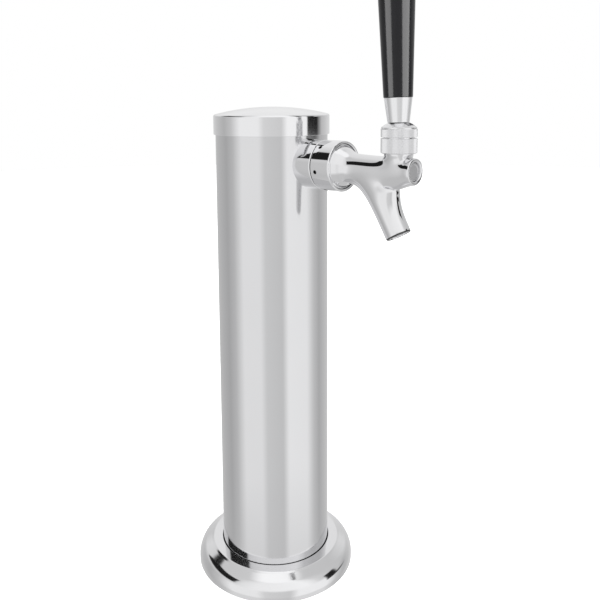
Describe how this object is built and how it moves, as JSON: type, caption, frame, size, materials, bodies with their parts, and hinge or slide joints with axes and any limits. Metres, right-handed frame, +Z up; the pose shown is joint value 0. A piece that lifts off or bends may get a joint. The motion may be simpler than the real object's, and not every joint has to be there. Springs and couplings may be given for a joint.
{
  "type": "beer tower dispenser",
  "caption": "Round stainless steel draught beer tower on a bolt-down flange, with a push-in cap and a lever faucet that has a tapered black handle.",
  "frame": {"origin": "centre of the foot, on the surface that the tower stands on", "axes": "+Z up along the column, -Y the way the tap points, +X to the right of someone who faces the tap"},
  "size_m": [0.111, 0.172, 0.4298],
  "materials": {
    "tube_steel": "stainless steel, polished to a soft satin",
    "cap_steel": "stainless steel, polished",
    "flange_steel": "stainless steel, polished satin",
    "plate_steel": "plain steel, satin",
    "collar_chrome": "polished",
    "nut_chrome": "polished",
    "body_chrome": "polished",
    "bonnet_chrome": "satin, knurled",
    "ferrule_chrome": "polished satin",
    "lever_steel": "satin",
    "handle_plastic": "gloss",
    "shank_brass": "satin",
    "tail_steel": "satin",
    "seal_rubber": "matte",
    "foam_grey": "closed-cell foam, matte",
    "liner_plastic": "matte",
    "seat_nylon": "satin"
  },
  "bodies": {
    "tower": {"base_plate": "plate_steel", "base_gasket": "seal_rubber", "base_flange": "flange_steel", "foot_ring": "plate_steel", "foot_screws": "tail_steel", "column_tube": "tube_steel", "foam_sleeve": "foam_grey", "shank_collar": "collar_chrome", "shank": "shank_brass", "backing_washer": "tail_steel", "shank_lock_nut": "shank_brass", "tail_nut": "shank_brass", "tail_washer": "seal_rubber", "tailpiece": "tail_steel", "coupling_nut": "nut_chrome", "coupling_washer": "seal_rubber", "faucet_body": "body_chrome", "front_plug": "body_chrome", "ball_seat": "seat_nylon", "friction_washer": "seat_nylon", "bonnet": "bonnet_chrome"},
    "lever": {"lever": "lever_steel", "ferrule": "ferrule_chrome", "handle_insert": "shank_brass", "tap_handle": "handle_plastic"},
    "valve": {"valve_shaft": "lever_steel", "shaft_seal": "seal_rubber", "seat_washer": "seal_rubber", "shaft_nut": "lever_steel"},
    "cap": {"top_cap": "cap_steel", "cap_liner": "liner_plastic", "cap_grip_ring": "seal_rubber"}
  },
  "joints": [
    {"name": "lever_tilt", "type": "hinge", "parent": "tower", "child": "lever", "pos_m": [0, -0.1047, 0.303], "axis": [1, 0, 0], "range_deg": [0, 24]},
    {"name": "shaft_slide", "type": "slide", "parent": "tower", "child": "valve", "axis": [0, 1, 0], "range_m": [0, 0.0058]},
    {"name": "cap_lift", "type": "slide", "parent": "tower", "child": "cap", "axis": [0, 0, 1], "range_m": [0, 0.03]}
  ],
  "couplings": [
    {"joint": "shaft_slide", "follows": "lever_tilt", "m_per_rad": 0.013393}
  ]
}
